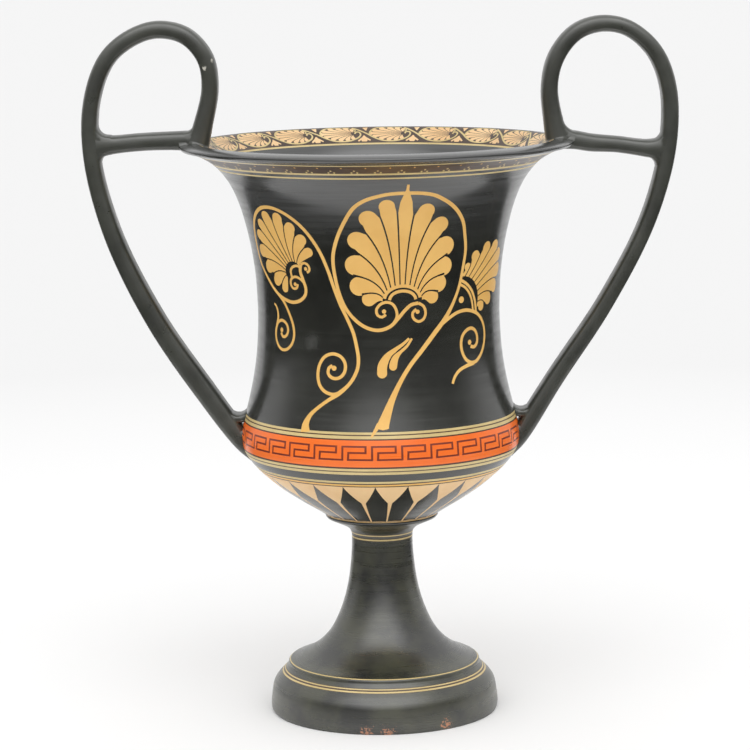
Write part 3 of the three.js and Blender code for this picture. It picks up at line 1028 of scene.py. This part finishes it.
def buildFloor():
    # paper with a painted pool of light: its colour is paler near the cup and darker far off
    paper, tree, shader = mattFinish("floorPaper", 0.95)
    place = tree.nodes.new("ShaderNodeTexCoord").outputs["Object"]
    away = linked(tree, "VectorMath", {0: place}, operation="LENGTH").outputs["Value"]
    near, far = ([studio[end]] * 3 for end in ("paperPaintedLightNear", "paperPaintedLightFar"))
    tree.links.new(blended(tree, ranged(tree, away, *studio["paperPaintedLightFade"], 0, 1), near, far),
                   shader.inputs["Base Color"])
    floor = bmesh.new()
    bmesh.ops.create_circle(floor, cap_ends=True, radius=studio["paperRadius"], segments=96)
    plane = asObject("floor", floor, [paper], unit=1)


def buildFlag():
    # a dark card round the front that only the gloss sees, so the cup's wall reflects a dark room
    card, _, shader = mattFinish("flagCard", 1)
    shader.inputs["Base Color"].default_value = (0.02, 0.02, 0.02, 1)
    flag = bmesh.new()
    opening = math.radians(studio["flagOpening"])
    ends = [flag.verts.new((away * math.sin(opening), away * math.cos(opening), studio["flagUp"]))
            for away in (studio["flagFrom"], studio["flagTo"])]
    edge = flag.edges.new(ends)
    bmesh.ops.spin(flag, geom=[edge, *ends], axis=(0, 0, 1), angle=-(2 * math.pi - 2 * opening), steps=90)
    sheet = asObject("flag", flag, [card], unit=1)
    for ray in ("camera", "diffuse", "shadow", "transmission"):
        setattr(sheet, "visible_" + ray, False)


def eased(tree, value, edges):
    return linked(tree, "MapRange", {"Value": value, "From Min": edges[0], "From Max": edges[1]},
                  interpolation_type="SMOOTHSTEP").outputs["Result"]


def lightTent():
    world = bpy.data.worlds.new("tent")
    world.use_nodes = True
    tree = world.node_tree
    direction = tree.nodes.new("ShaderNodeTexCoord").outputs["Generated"]
    towards = Vector(studio["softBoxAt"]).normalized()
    facing = linked(tree, "VectorMath", {0: direction, 1: towards}, operation="DOT_PRODUCT")
    box = eased(tree, facing.outputs["Value"], studio["softBoxEdge"])
    split = linked(tree, "SeparateXYZ", {0: direction})
    lit = maths(tree, "MAXIMUM", eased(tree, split.outputs["Y"], studio["roomEdge"]),
                eased(tree, split.outputs["Z"], studio["roomTop"]))
    level = ranged(tree, lit, 0, 1, studio["roomDark"], studio["tent"])
    level = maths(tree, "ADD", level, times(tree, box, studio["softBox"]))
    background = tree.nodes["Background"]
    background.inputs["Color"].default_value = (1, 1, 1, 1)
    tree.links.new(level, background.inputs["Strength"])
    bpy.context.scene.world = world


def aimCamera():
    lens = bpy.data.cameras.new("camera")
    lens.lens = studio["lens"]
    lens.sensor_width = 36
    lens.clip_end = 100
    camera = bpy.data.objects.new("camera", lens)
    bpy.context.scene.collection.objects.link(camera)
    tilt = Matrix.Rotation(math.radians(90 - studio["pitch"]), 4, "X")
    aim = tilt @ Matrix.Rotation(studio["roll"], 4, "Z")
    camera.matrix_world = Matrix.Translation(studio["place"]) @ aim
    bpy.context.scene.camera = camera
    bpy.context.scene.view_settings.view_transform = "Standard"


buildFloor()
buildFlag()
lightTent()
aimCamera()
print("studio set up")
